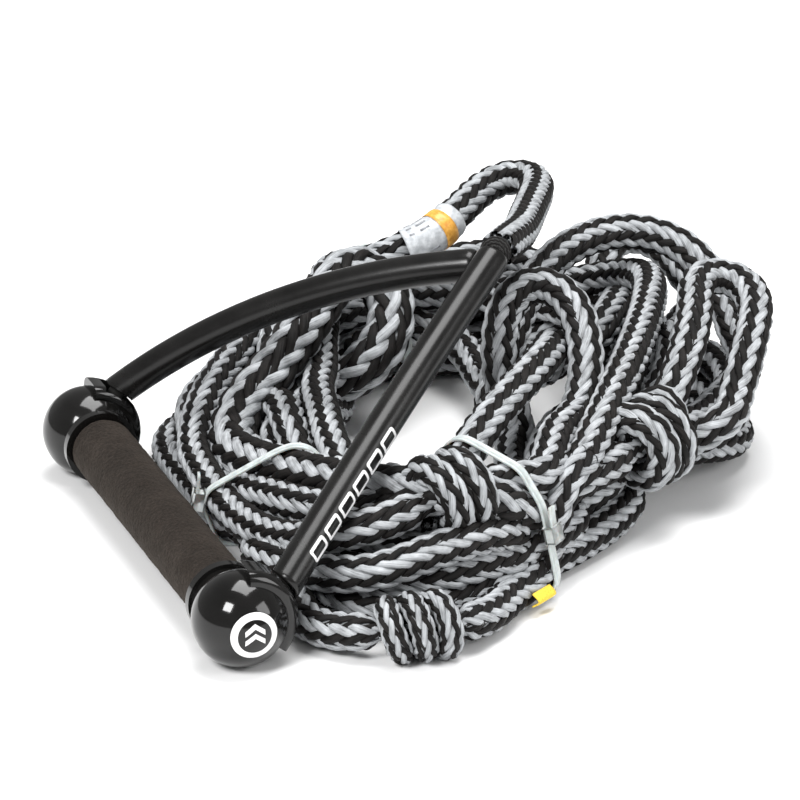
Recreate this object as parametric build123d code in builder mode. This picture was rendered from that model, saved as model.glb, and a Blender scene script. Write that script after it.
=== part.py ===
from build123d import *
from math import atan2, cos, pi, radians, sin, tan
import os

# Tow rope handle for wakesurfing: a floating handle with a two-arm bridle on a coiled
# rope. Millimetres, +Z up. The handle bar lies along Y and rests on the floor on its two
# ball ends; the bridle rises towards +X and ends in a splice on top of the coiled rope.
# The origin is on the floor, under the middle of the handle and bridle.

# ---------------------------------------------------------------- driving dimensions
handle_length = 254.0  # over both ball ends, a ten inch handle
ball_r = 20.0
grip_r = 14.0
bar_r = 11.0
bar_wall = 2.0
bridle_reach = 180.0  # from the back of the balls to the tip of the splice, along X
arm_r = 7.3
arm_bore_r = 4.0
core_r = 3.5
rope_r = 8.0
coil_height = 58.0
running_gap = 0.3

# ---------------------------------------------------------------- handle places
ball_y = handle_length / 2 - ball_r
handle_x = ball_r - bridle_reach / 2
bar_axis = Axis((handle_x, 0, ball_r), (0, 1, 0))
SIDES = {"near": -1, "far": 1}

# ball end: distances from the ball's centre, positive towards the outer end
flange_in, flange_out = -22.0, -18.0
flange_r = 16.2
neck_r = 14.4
bore_end = -12.0
plug_r = 10.3
plug_depth = 6.0
knot_r = 8.0
lobe_r = 23.0
lobe_width = 19.0
lobe_top, lobe_bottom = 85.0, -40.0  # degrees about the bar, from +X upwards
roll_limit = 12.0

# bridle: each arm leaves the lobe at its own angle and runs to the apex
arm_angle = {"near": 30.0, "far": 50.0}
arm_root_r = 21.0
arm_end = {"near": Vector(80, 0, 118), "far": Vector(75, 11.5, 112.5)}
arm_rise = {"near": 2.0, "far": 13.5}
splice_r = 7.0
splice = Vector(bridle_reach / 2 - splice_r, 3, 120.5)


def radial_plane(angle):
    """Plane through the bar's axis: local x along the bar, local y outwards at the angle."""
    across = Vector(sin(radians(angle)), 0, -cos(radians(angle)))
    return Plane(origin=(handle_x, 0, ball_r), x_dir=(0, 1, 0), z_dir=across)


def around_bar(angle, radius, y):
    """Point at a distance from the bar's axis, at an angle from +X upwards."""
    return Vector(
        handle_x + radius * cos(radians(angle)), y, ball_r + radius * sin(radians(angle))
    )


def finish(piece, name):
    piece.part.label = name
    export_step(piece.part, f"parts/{name}.step")


os.makedirs("parts", exist_ok=True)

# ---------------------------------------------------------------- handle bar and grip
bar_half = ball_y + bore_end - 0.2
with BuildPart() as handle_tube:
    with BuildSketch(Plane(origin=(handle_x, -bar_half, ball_r), z_dir=(0, 1, 0))):
        Circle(bar_r)
        Circle(bar_r - bar_wall, mode=Mode.SUBTRACT)
    extrude(amount=2 * bar_half)
finish(handle_tube, "handle_tube")

grip_half = ball_y + flange_in - 0.1
with BuildPart() as grip_sleeve:
    with BuildSketch(Plane(origin=(handle_x, -grip_half, ball_r), z_dir=(0, 1, 0))):
        Circle(grip_r)
        Circle(bar_r + 0.05, mode=Mode.SUBTRACT)
    extrude(amount=2 * grip_half)
    fillet(grip_sleeve.edges().filter_by(GeomType.CIRCLE).sort_by(SortBy.RADIUS)[-2:], 1.0)
finish(grip_sleeve, "grip_sleeve")

# closed-cell foam inside the bar keeps the handle afloat
foam_half = bar_half - 4.0
with BuildPart() as foam_core:
    with BuildSketch(Plane(origin=(handle_x, -foam_half, ball_r), z_dir=(0, 1, 0))):
        Circle(bar_r - bar_wall - 0.05)
    extrude(amount=2 * foam_half)
finish(foam_core, "foam_core")


# ---------------------------------------------------------------- ball ends
def ball_cap(side):
    """Moulded ball end: ball, neck, flange and rope lobe around a knot chamber."""
    sign = SIDES[side]
    middle = sign * ball_y

    def at(offset, radius):
        return (middle + sign * offset, radius)

    neck_at = -((ball_r**2 - neck_r**2) ** 0.5)
    plug_at = (ball_r**2 - plug_r**2) ** 0.5
    with BuildPart() as cap:
        with BuildSketch(radial_plane(90)):
            with BuildLine():
                Polyline(
                    at(plug_at, plug_r),
                    at(plug_at, 0),
                    at(flange_in, 0),
                    at(flange_in, flange_r),
                    at(flange_out, flange_r),
                    at(flange_out, neck_r),
                    at(neck_at, neck_r),
                )
                ThreePointArc(at(neck_at, neck_r), at(0, ball_r), at(plug_at, plug_r))
            make_face()
        revolve(axis=bar_axis)
        with BuildSketch(radial_plane(lobe_top)):
            with Locations(at(0, lobe_r / 2)):
                RectangleRounded(lobe_width, lobe_r, 4.5)
        revolve(axis=bar_axis, revolution_arc=lobe_top - lobe_bottom)
        # knot chamber, bar socket and the opening that the plug closes
        with Locations((handle_x, middle, ball_r)):
            Sphere(knot_r + running_gap, mode=Mode.SUBTRACT)
        with BuildSketch(radial_plane(90)):
            with BuildLine():
                Polyline(
                    at(flange_in - 1, 0),
                    at(flange_in - 1, bar_r + 0.05),
                    at(bore_end, bar_r + 0.05),
                    at(bore_end, 0),
                    close=True,
                )
            make_face()
            with BuildLine():
                Polyline(
                    at(0, 0),
                    at(0, knot_r + running_gap),
                    at(ball_r - plug_depth, knot_r + running_gap),
                    at(ball_r - plug_depth, plug_r),
                    at(ball_r + 1, plug_r),
                    at(ball_r + 1, 0),
                    close=True,
                )
            make_face()
        revolve(axis=bar_axis, mode=Mode.SUBTRACT)
        # rope slot through the wall, wide enough for the bar to roll
        half = core_r + running_gap
        slope = tan(radians(roll_limit))
        spread = half / cos(radians(roll_limit))
        slot_in, slot_out = 4.0, lobe_r + 2
        slot_y = middle - sign * (lobe_width / 2 - 1)
        with BuildSketch(
            Plane(
                origin=(handle_x, slot_y, ball_r),
                x_dir=around_bar(arm_angle[side], 1, 0) - Vector(handle_x, 0, ball_r),
                z_dir=(0, sign, 0),
            )
        ):
            with BuildLine():
                Polyline(
                    (slot_in, slot_in * slope + spread),
                    (slot_out, slot_out * slope + spread),
                    (slot_out, -slot_out * slope - spread),
                    (slot_in, -slot_in * slope - spread),
                    close=True,
                )
            make_face()
        extrude(amount=lobe_width / 2 + half, mode=Mode.SUBTRACT)
    return cap


def end_plug(side):
    """Domed plug that closes the knot chamber and carries the badge."""
    sign = SIDES[side]
    inner = sign * (ball_y + ball_r - plug_depth)
    edge = sign * (ball_y + (ball_r**2 - (plug_r - 0.05) ** 2) ** 0.5)
    crown = sign * (ball_y + ball_r)
    half_r = plug_r / 2
    half_y = sign * (ball_y + (ball_r**2 - half_r**2) ** 0.5)
    with BuildPart() as plug:
        with BuildSketch(radial_plane(90)):
            with BuildLine():
                Polyline((crown, 0), (inner, 0), (inner, plug_r - 0.05), (edge, plug_r - 0.05))
                ThreePointArc((edge, plug_r - 0.05), (half_y, half_r), (crown, 0))
            make_face()
        revolve(axis=bar_axis)
    return plug


def badge_print(side):
    """Printed ring with two plain chevrons, a thin film on the plug's dome."""
    sign = SIDES[side]
    film = 0.12
    with BuildPart() as badge:
        start = sign * (ball_y + ball_r / 2)
        with BuildSketch(Plane(origin=(handle_x, start, ball_r), x_dir=(0, 0, 1), z_dir=(0, sign, 0))):
            Circle(plug_r - 0.4)
            Circle(plug_r - 3.1, mode=Mode.SUBTRACT)
            for level in (-2.4, 1.6):
                with BuildLine():
                    Polyline(
                        (level - 1.2, -4.2),
                        (level + 1.8, 0),
                        (level - 1.2, 4.2),
                        (level + 1.0, 4.2),
                        (level + 4.0, 0),
                        (level + 1.0, -4.2),
                        close=True,
                    )
                make_face()
        extrude(amount=ball_r)
        with Locations((handle_x, sign * ball_y, ball_r)):
            Sphere(ball_r + film, mode=Mode.INTERSECT)
            Sphere(ball_r, mode=Mode.SUBTRACT)
    return badge


for side in SIDES:
    finish(ball_cap(side), f"ball_cap_{side}")
    finish(end_plug(side), f"end_plug_{side}")
    finish(badge_print(side), f"badge_print_{side}")


# ---------------------------------------------------------------- bridle
def arm_path(side):
    """Middle line of an arm: from inside the lobe to the apex, bowed upwards."""
    start = around_bar(arm_angle[side], arm_root_r, SIDES[side] * ball_y)
    end = arm_end[side]
    middle = (start + end) / 2 + Vector(0, 0, arm_rise[side])
    return ThreePointArc(start, middle, end)


def bridle_sleeve(side):
    """Plastic tube over one arm of the bridle, cut to fit round the ball's lobe."""
    with BuildPart() as sleeve:
        with BuildLine() as path:
            add(arm_path(side))
        with BuildSketch(Plane(origin=path.line @ 0, z_dir=path.line % 0)):
            Circle(arm_r)
            Circle(arm_bore_r, mode=Mode.SUBTRACT)
        sweep()
        with Locations(Location((handle_x, SIDES[side] * ball_y, ball_r), (90, 0, 0))):
            Cylinder(lobe_r + running_gap, 4 * lobe_width, mode=Mode.SUBTRACT)
    return sleeve


def bridle_rope(side):
    """Rope core of one arm: out of the stopper knot, through the slot and the sleeve."""
    knot = Vector(handle_x, SIDES[side] * ball_y, ball_r)
    start = around_bar(arm_angle[side], arm_root_r, SIDES[side] * ball_y)
    with BuildPart() as core:
        with BuildLine() as path:
            add(arm_path(side))
        with BuildSketch(Plane(origin=path.line @ 0, z_dir=path.line % 0)):
            Circle(core_r)
        sweep()
        outwards = (start - knot).normalized()
        with BuildSketch(Plane(origin=knot + outwards * (knot_r + 0.05), z_dir=outwards)):
            Circle(core_r)
        extrude(amount=arm_root_r - knot_r + 1.2)
    return core


def end_knot(side):
    """Stopper knot in its round chamber, with the cut rope end trimmed flush."""
    with BuildPart() as knot:
        with Locations((handle_x, SIDES[side] * ball_y, ball_r)):
            Sphere(knot_r)
    return knot


sleeves = {side: bridle_sleeve(side) for side in SIDES}
cores = {side: bridle_rope(side) for side in SIDES}
for side in SIDES:
    finish(sleeves[side], f"bridle_sleeve_{side}")
    finish(cores[side], f"bridle_rope_{side}")
    finish(end_knot(side), f"end_knot_{side}")

# splice where both cores join: the rope hangs on it
with BuildPart() as apex_splice:
    with Locations(splice):
        Sphere(splice_r)
    for side in SIDES:
        reach = splice - arm_end[side]
        with BuildSketch(Plane(origin=arm_end[side], z_dir=reach)):
            Circle(core_r)
        extrude(amount=reach.length)
    for side in SIDES:
        add(sleeves[side].part, mode=Mode.SUBTRACT)
        add(cores[side].part, mode=Mode.SUBTRACT)
finish(apex_splice, "apex_splice")

# plain printed bars along the near arm, on the side away from the far arm
arm_start = around_bar(arm_angle["near"], arm_root_r, -ball_y)
arm_dir = (arm_end["near"] - arm_start).normalized()
print_face = Vector(0.474, -0.813, 0.328)
print_film = 0.12
print_start, print_length, print_height = 16.0, 72.0, 6.4
bar_count, bar_gap, bar_line = 6, 2.0, 1.3
bar_length = (print_length - bar_gap * (bar_count - 1)) / bar_count
with BuildPart() as arm_print:
    with BuildSketch(Plane(origin=arm_start, x_dir=arm_dir, z_dir=print_face)):
        for bar in range(bar_count):
            along = print_start + bar_length / 2 + bar * (bar_length + bar_gap)
            with Locations((along, 0)):
                RectangleRounded(bar_length, print_height, 1.2)
                RectangleRounded(
                    bar_length - 2 * bar_line, print_height - 2 * bar_line, 0.6, mode=Mode.SUBTRACT
                )
    extrude(amount=2 * arm_r)
    with BuildLine(mode=Mode.PRIVATE) as path:
        add(arm_path("near"))
    with BuildSketch(Plane(origin=path.line @ 0, z_dir=path.line % 0), mode=Mode.PRIVATE) as ring:
        Circle(arm_r + print_film)
        Circle(arm_r, mode=Mode.SUBTRACT)
    sweep(sections=ring.sketch, path=path.line, mode=Mode.INTERSECT)
finish(arm_print, "arm_print")

# ---------------------------------------------------------------- coiled rope
# The coil lies on the floor beside the handle and stays under the bridle's plane.
COIL_OUTLINE = [(-46, -106), (38, -108), (236, 20), (236, 165), (195, 226), (75, 200), (-46, 118)]
coil_corner = 45.0
coil_edge = 18.0
hole_centre, hole_turn = (68, 42), 72.0
hole_length, hole_width = 224.0, 68.0
bridle_slope = atan2(arm_end["near"].Z - ball_r, arm_end["near"].X - handle_x)
slope_drop = 11.5

# cable ties round the coil: the inner and outer end of each strap, seen from above
TIES = {
    "left": (Vector(22, -8, 0), Vector(-50, 12, 0)),
    "back": (Vector(98, 146, 0), Vector(88, 212, 0)),
    "front": (Vector(44, -60, 0), Vector(74, -94, 0)),
}
tie_width, tie_thick = 4.8, 1.3
head_size = (7.5, 6.4, 4.6)
tag_foot = Vector(57, -95.2, 7.5)
tag_along = Vector(0.84, 0.543, 0)

# routes of the stretches that lie loose on the coil, and of the free end
lead_towards = Vector(98, 27, 115)
lead_start = splice + (lead_towards - splice).normalized() * (splice_r + running_gap)
ROUTES = {
    "rope_lead": [
        tuple(lead_start),
        (98, 27, 115),
        (115, 46, 109.5),
        (131, 68, 104.5),
        (145, 91, 101),
        (157, 114, 98),
        (166, 136, 95.5),
        (168, 155, 94),
        (159, 166, 92),
        (144, 164, 89.5),
        (126, 152, 85),
        (106, 140, 78),
        (84, 142, 70.5),
        (64, 149, 62),
        (46, 144, 50),
    ],
    "rope_eye": [
        (90, -9, 44),
        (84, -3, 60),
        (86, 7, 78),
        (94, 18, 90),
        (106, 24.5, 95.5),
        (118, 21, 94),
        (124, 9, 86),
        (123, -5, 72),
        (116, -18, 56),
    ],
    "rope_bridge": [
        (122, 40, 48),
        (120, 28, 62),
        (113, 11, 71),
        (101, -8, 73),
        (84, -26, 71),
        (66, -41, 66),
        (50, -55, 59),
        (36, -69, 49),
    ],
    "rope_crossing": [
        (114, 62, 50),
        (128, 80, 68),
        (149, 98, 78),
        (173, 108, 82),
        (195, 109, 81),
        (211, 101, 76),
        (220, 88, 67),
        (223, 73, 55),
    ],
    "rope_arch": [
        (190, 140, 45),
        (197, 157, 55),
        (209, 168, 61),
        (222, 165, 61.5),
        (230, 151, 56),
        (232, 134, 46),
    ],
    "rope_right_loop": [
        (152, -21, 45),
        (162, -13, 58),
        (173, -1, 68),
        (183, 16, 76),
        (190, 33, 80),
        (198, 42, 81),
        (208, 42, 80),
        (215, 33, 78),
        (213, 17, 74.5),
        (205, 3, 68),
        (196, -9, 58),
        (187, -19, 46),
    ],
    "rope_tail": [
        (-32, -60, 14),
        (-39, -84, 9),
        (-35, -106, 8.1),
        (-21, -122, 12),
        (0, -130, 15.5),
        (21, -127, 12),
        (38, -114, 8.1),
        (50, -99, 8.1),
    ],
}

# overhand knots on the rope: middle, direction of the rope through them, radius, length
KNOTS = {
    "knot_middle": ((30, -82, 50), (1, 0.25, 0.1), 19.0, 38.0),
    "knot_right": ((140, -36, 40), (0.84, 0.54, 0), 20.5, 45.0),
    "knot_tail": ((1, -130, 15.5), (1, 0, 0), 15.0, 39.0),
}


def coil_body(inset, floor_inset=0.0):
    """Outer shape of the coil, drawn in by an even inset at its sides and on top."""
    with BuildPart() as body:
        with BuildSketch(Plane.XY.offset(floor_inset)) as outline:
            with BuildLine():
                Polyline(*COIL_OUTLINE, close=True)
            make_face()
            fillet(outline.vertices(), coil_corner)
            if inset:
                offset(amount=-inset)
        extrude(amount=coil_height - inset - floor_inset)
        fillet(body.faces().filter_by(Axis.Z).edges(), coil_edge - inset)
        with BuildSketch():
            with Locations(Location((*hole_centre, 0), (0, 0, hole_turn))):
                SlotOverall(hole_length + 2 * inset, hole_width + 2 * inset)
        extrude(amount=coil_height, mode=Mode.SUBTRACT)
        normal = Vector(-sin(bridle_slope), 0, cos(bridle_slope))
        under = Vector(handle_x, 0, ball_r - slope_drop) - normal * inset
        split(bisect_by=Plane(origin=under, z_dir=normal), keep=Keep.BOTTOM)
    return body


def rope_tube(points, radius=rope_r, bore=0.0):
    """Tube along straight runs joined by arcs as large as the runs allow."""
    route = [Vector(*point) for point in points]
    runs = [after - before for before, after in zip(route, route[1:])]
    radii = []
    for before, after in zip(runs, runs[1:]):
        shorter = min(before.length, after.length)
        radii.append(0.45 * shorter / tan(radians(before.get_angle(after)) / 2))
    with BuildPart() as tube:
        with BuildLine() as path:
            FilletPolyline(*route, radius=radii)
        with BuildSketch(Plane(origin=path.line @ 0, z_dir=path.line % 0)):
            Circle(radius)
            if bore:
                Circle(bore, mode=Mode.SUBTRACT)
        sweep(transition=Transition.RIGHT)
    return tube, radii, sum(edge.length for edge in path.edges())


def tie_plane(place):
    """Section plane of a strap: local x points outwards across the coil, local y up."""
    inner, outer = TIES[place]
    across = (outer - inner).normalized()
    middle = (inner + outer) / 2 + Vector(0, 0, coil_height / 2)
    return Plane(origin=middle, x_dir=across, z_dir=across.cross(Vector(0, 0, 1)))


def tie_strap(place, outside, inside):
    """Nylon strap drawn into the rope: the band between two outlines of the coil."""
    inner, outer = TIES[place]
    with BuildPart() as strap:
        with BuildSketch(tie_plane(place)):
            Rectangle((outer - inner).length + 24, 2 * coil_height)
        extrude(amount=tie_width / 2, both=True)
        add(outside.part, mode=Mode.INTERSECT)
        add(inside.part, mode=Mode.SUBTRACT)
    return strap


tie_outside = coil_body(0)
tie_inside = coil_body(tie_thick, tie_thick)
straps = {place: tie_strap(place, tie_outside, tie_inside) for place in TIES}
rope_coil = coil_body(tie_thick)
with rope_coil:
    for strap in straps.values():
        add(strap.part, mode=Mode.SUBTRACT)
finish(rope_coil, "rope_coil")

tubes = {}
for name, points in ROUTES.items():
    tube, radii, length = rope_tube(points)
    ratio = tube.part.volume / (pi * rope_r**2 * length)
    print(name, f"length {length:.0f}, volume ratio {ratio:.4f}, radii", [round(r) for r in radii])
    with BuildPart() as laid:
        add(tube.part)
        add(rope_coil.part, mode=Mode.SUBTRACT)
        if name != "rope_tail":
            split(bisect_by=Plane.XY.offset(coil_height), keep=Keep.TOP)
    tubes[name] = laid
    finish(laid, name)

for name, (middle, along, radius, length) in KNOTS.items():
    with BuildPart() as knot:
        with BuildSketch(Plane(origin=Vector(*middle), z_dir=Vector(*along))):
            Circle(radius)
        extrude(amount=length / 2, both=True)
        chamfer(knot.edges(), radius / 4)
        add(rope_coil.part, mode=Mode.SUBTRACT)
        for tube in tubes.values():
            add(tube.part, mode=Mode.SUBTRACT)
    finish(knot, name)

for place, strap in straps.items():
    finish(strap, f"tie_strap_{place}")
    outer_face = strap.faces().sort_by(Axis(tie_plane(place).origin, tie_plane(place).x_dir))[-1]
    foot = outer_face.center()
    with BuildPart() as head:
        with BuildSketch(Plane(origin=foot, x_dir=(0, 0, 1), z_dir=tie_plane(place).x_dir)):
            RectangleRounded(head_size[0], head_size[1], 1.0)
        extrude(amount=head_size[2])
        chamfer(head.faces().sort_by(Axis(foot, tie_plane(place).x_dir))[-1].edges(), 0.8)
        add(strap.part, mode=Mode.SUBTRACT)
    finish(head, f"tie_head_{place}")

# small yellow tag, sewn into the foot of the coil beside the front tie
with BuildPart() as care_tag:
    with BuildSketch(Plane(origin=tag_foot, x_dir=tag_along, z_dir=Vector(0, 0, 1).cross(tag_along))):
        RectangleRounded(14, 6.5, 0.8)
    extrude(amount=-0.8)
    add(rope_coil.part, mode=Mode.SUBTRACT)
finish(care_tag, "care_tag")

# printed label wrapped round the lead, with a coloured band over it
label_middle = Vector(107, 141, 79)
label_along = Vector(30, 8, 8).normalized()
LABEL = {"label_wrap": (0.05, 0.4, 0, 27.0), "label_band": (0.4, 0.65, 5.5, 6.0)}
for name, (inner_gap, outer_gap, shift, length) in LABEL.items():
    wrap, radii, run = rope_tube(ROUTES["rope_lead"], rope_r + outer_gap, rope_r + inner_gap)
    with BuildPart() as label:
        with BuildSketch(
            Plane(origin=label_middle + label_along * (shift - length / 2), z_dir=label_along)
        ):
            Circle(2 * rope_r)
        extrude(amount=length)
        add(wrap.part, mode=Mode.INTERSECT)
    finish(label, name)
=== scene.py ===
from math import atan2, ceil, cos, degrees, dist, hypot, pi, radians, sin

import bmesh
import bpy
import numpy as np
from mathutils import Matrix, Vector
from mathutils.bvhtree import BVHTree


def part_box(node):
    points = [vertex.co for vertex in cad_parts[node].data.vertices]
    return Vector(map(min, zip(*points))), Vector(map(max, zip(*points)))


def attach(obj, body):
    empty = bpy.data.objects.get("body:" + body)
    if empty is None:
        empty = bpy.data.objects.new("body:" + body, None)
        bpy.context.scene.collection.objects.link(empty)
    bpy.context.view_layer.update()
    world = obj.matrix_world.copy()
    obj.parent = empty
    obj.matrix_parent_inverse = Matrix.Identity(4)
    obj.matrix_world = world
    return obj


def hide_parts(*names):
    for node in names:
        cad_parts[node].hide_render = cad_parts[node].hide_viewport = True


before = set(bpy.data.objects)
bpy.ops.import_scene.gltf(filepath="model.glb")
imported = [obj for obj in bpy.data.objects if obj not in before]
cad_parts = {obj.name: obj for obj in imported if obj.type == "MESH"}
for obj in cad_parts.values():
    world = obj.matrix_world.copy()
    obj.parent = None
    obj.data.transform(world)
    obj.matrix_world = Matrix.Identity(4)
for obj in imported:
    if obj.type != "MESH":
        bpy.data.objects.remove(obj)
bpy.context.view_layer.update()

SCENE = bpy.context.scene

# ---- camera
CAMERA_PLACE = (-0.6050, -1.7426, 0.8055)
CAMERA_AIM = (0.0320, -0.0175, 0.0671)
CAMERA_LENS = 210.2


def put(piece, place, aim):
    """Puts a camera or light into the scene, pointed at its aim."""
    SCENE.collection.objects.link(piece)
    piece.location = place
    piece.rotation_euler = (Vector(aim) - Vector(place)).to_track_quat("-Z", "Y").to_euler()


def add_camera():
    data = bpy.data.cameras.new("camera")
    data.lens = CAMERA_LENS
    camera = bpy.data.objects.new("camera", data)
    put(camera, CAMERA_PLACE, CAMERA_AIM)
    SCENE.camera = camera


add_camera()

# ---- handle and bridle sizes
HANDLE_X = -0.070
BAR_HEIGHT = 0.020
PLANE_DROP = 0.0115  # the coil stays this far under the bridle's plane
ARM_R = 0.0073
SPLICE = Vector((0.083, 0.003, 0.1205))
NEAR_END = Vector((0.080, 0.0, 0.118))
PLANE_SLOPE = (NEAR_END.z - BAR_HEIGHT) / (NEAR_END.x - HANDLE_X)

# ---- rope routes, in metres
# each stretch runs as the rope does from the splice to its free end; LEGS has their order
ROPE_R = 0.0084
FAT_R = 0.0115
ROUTES = {
    "lead": [
        (0.08688, 0.00922, 0.11893), (0.098, 0.027, 0.115), (0.112, 0.049, 0.1095),
        (0.124, 0.073, 0.1045), (0.136, 0.097, 0.101), (0.148, 0.120, 0.098),
        (0.158, 0.141, 0.0955), (0.162, 0.158, 0.094), (0.154, 0.169, 0.092),
        (0.140, 0.165, 0.0895), (0.124, 0.152, 0.085), (0.106, 0.140, 0.078),
        (0.084, 0.142, 0.0705), (0.064, 0.149, 0.062), (0.046, 0.144, 0.050),
    ],
    "eye": [
        (0.090, -0.009, 0.044), (0.084, -0.003, 0.060), (0.086, 0.007, 0.078),
        (0.094, 0.018, 0.090), (0.106, 0.0245, 0.0955), (0.118, 0.021, 0.094),
        (0.124, 0.009, 0.086), (0.123, -0.005, 0.072), (0.116, -0.018, 0.056),
    ],
    "bridge": [
        (0.122, 0.040, 0.048), (0.120, 0.028, 0.062), (0.113, 0.011, 0.071),
        (0.101, -0.008, 0.073), (0.084, -0.026, 0.071), (0.066, -0.041, 0.066),
        (0.050, -0.055, 0.059), (0.036, -0.069, 0.049),
    ],
    "crossing": [
        (0.120, 0.090, 0.017), (0.110, 0.070, 0.0155), (0.103, 0.057, 0.021),
        (0.101, 0.051, 0.034), (0.105, 0.053, 0.046), (0.114, 0.062, 0.057),
        (0.128, 0.080, 0.069), (0.149, 0.098, 0.078), (0.173, 0.108, 0.082),
        (0.195, 0.109, 0.081), (0.211, 0.101, 0.076), (0.220, 0.088, 0.067),
        (0.223, 0.073, 0.055), (0.222, 0.059, 0.044),
    ],
    "arch": [
        (0.190, 0.140, 0.042), (0.197, 0.157, 0.050), (0.209, 0.168, 0.055),
        (0.222, 0.165, 0.0555), (0.230, 0.151, 0.051), (0.232, 0.134, 0.042),
    ],
    "right_loop": [
        (0.152, -0.021, 0.045), (0.162, -0.013, 0.058), (0.173, -0.001, 0.068),
        (0.183, 0.016, 0.076), (0.190, 0.033, 0.080), (0.198, 0.042, 0.081),
        (0.208, 0.042, 0.080), (0.215, 0.033, 0.078), (0.213, 0.017, 0.0745),
        (0.205, 0.003, 0.068), (0.196, -0.009, 0.058), (0.187, -0.019, 0.046),
    ],
    "side": [
        (0.098, -0.062, 0.046), (0.116, -0.040, 0.056), (0.133, -0.018, 0.062),
        (0.148, 0.004, 0.065), (0.163, 0.028, 0.067), (0.177, 0.054, 0.067),
        (0.189, 0.080, 0.065), (0.196, 0.105, 0.060), (0.192, 0.128, 0.052),
        (0.176, 0.147, 0.043),
    ],
    "knot_right": [
        (0.172, -0.014, 0.036), (0.156, -0.026, 0.040), (0.140, -0.036, 0.041),
        (0.124, -0.047, 0.041), (0.107, -0.058, 0.040),
    ],
    "knot_middle": [
        (0.064, -0.073, 0.048), (0.047, -0.078, 0.050), (0.030, -0.082, 0.050),
        (0.013, -0.085, 0.047), (-0.003, -0.083, 0.041),
    ],
    "curl": [
        (0.024, -0.078, 0.050), (0.006, -0.050, 0.043), (-0.008, -0.008, 0.034),
        (-0.018, 0.032, 0.026), (-0.020, 0.058, 0.024), (-0.008, 0.077, 0.034),
        (0.013, 0.086, 0.048), (0.030, 0.099, 0.059), (0.045, 0.115, 0.067),
        (0.060, 0.132, 0.071), (0.075, 0.137, 0.066), (0.081, 0.124, 0.055),
        (0.074, 0.112, 0.042), (0.060, 0.108, 0.030), (0.044, 0.114, 0.021),
    ],
    "tail": [
        (0.050, -0.099, 0.0085), (0.038, -0.114, 0.0085), (0.021, -0.127, 0.012),
        (0.000, -0.130, 0.0155), (-0.021, -0.122, 0.012), (-0.035, -0.106, 0.0085),
        (-0.039, -0.084, 0.009), (-0.032, -0.060, 0.014),
    ],
}

# ---- the coil's turns
# The rope goes round the hole between the listed stretches above. A leg is the way
# round from one stretch to the next, in degrees about the hole's middle, + to the left.
COIL_CENTRE = np.array((0.072, 0.044))
LEGS = [
    ("lead", 105.0, 645.0, "side"),
    ("side", 778.0, 1406.0, "right_loop"),
    ("right_loop", 341.0, 33.5, "arch"),
    ("arch", 24.5, -697.0, "crossing"),
    ("crossing", 8.0, -30.0, "knot_right"),
    ("knot_right", -72.0, -108.0, "curl"),
    ("curl", 95.0, 660.0, "eye"),
    ("eye", 324.0, 268.0, "knot_middle"),
    ("knot_middle", 238.0, 0.0, "bridge"),
    ("bridge", -110.0, -458.7, "tail"),
]
FAT_LEG = 5  # the leg that leads into the stout stretch
ANCHORS = (-20.0, 12.0, 45.0, 85.0, 130.0, 185.0, 245.0, 278.0, 308.0)  # degrees round the coil
LANE = 0.0165  # room that a turn takes beside the next one
LAYER = 0.0135  # height of one layer of turns on another
WIDE = 0.085  # from here on the ring counts as its wide right side
RIGHT_SPAN = (0.30, 1.0)  # share of the ring that the turns take on its wide right side
NODE_STEP = 0.012  # distance of the nodes that settle
TINY = 1e-9  # keeps a division by a length safe
ROUTE_R = {"curl": FAT_R, "knot_right": 0.016, "knot_middle": 0.015}  # room for the stout pieces
SETTLE_STEPS = 260
FALL = 0.0006  # metres in the first step, less and less later
# shares of an error that one step puts right: place, bend, length, overlap, coil's walls
HOMING = 0.12
BENDING = 0.35
STRETCHING = 0.45
PUSHING = 0.8
WALLING = 0.6
PRESSED = 0.97  # ropes that touch press into each other a little
SLACK = 1.15  # longest distance of two nodes, in steps
NEIGHBOURS = 3  # nodes along the rope that don't push each other
PILE_TOP = 0.058
PLANE_TILT = 1.19  # rope radii straight up that clear the bridle's sloping plane
# a low mound under the right side, where the lowest turns are hidden by those on them
MOUND_PLACE, MOUND_SPREAD, MOUND_HEIGHT = (0.165, 0.045), (0.030, 0.075), 0.018
# how a settled leg joins the stretches before and after it
CONTROL_STRIDE = 2  # nodes from one control point to the next
LEAD_IN = 0.014
SAME_WAY = 0.75  # two unit directions with a shorter sum point too far apart
SHARPEST, SHORTEST, LONGEST_STEP = 50.0, 0.010, 0.042  # degrees, metres, metres

rng = np.random.default_rng(7)
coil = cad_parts["rope_coil"].data
coil_tree = BVHTree.FromPolygons(
    [v.co for v in coil.vertices], [tuple(p.vertices) for p in coil.polygons]
)
PROBE_HEIGHT = 0.016
WALL_ANGLES = np.arange(0, 360, 5)


def coil_walls():
    """Distance from the hole's middle to the hole's wall and to the coil's outside."""
    inner, outer = [], []
    for angle in WALL_ANGLES:
        way = Vector((cos(radians(angle)), sin(radians(angle)), 0))
        start = Vector((*COIL_CENTRE, PROBE_HEIGHT))
        first = coil_tree.ray_cast(start, way)[0]
        second = coil_tree.ray_cast(first + way * 0.001, way)[0]
        inner.append((first - start).length)
        outer.append((second - start).length)
    return np.array(inner), np.array(outer)


INNER_WALL, OUTER_WALL = coil_walls()


def walls_at(angle):
    return (
        np.interp(angle, WALL_ANGLES, INNER_WALL, period=360),
        np.interp(angle, WALL_ANGLES, OUTER_WALL, period=360),
    )


def bearing(point):
    """Direction of a point from the hole's middle, in radians."""
    return atan2(point[1] - COIL_CENTRE[1], point[0] - COIL_CENTRE[0])


def lane_of(point):
    """Share of the way from the hole's wall to the outside."""
    inner, outer = walls_at(degrees(bearing(point)))
    return (dist(point[:2], COIL_CENTRE) - inner - ROPE_R) / (outer - inner - 2 * ROPE_R)


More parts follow.
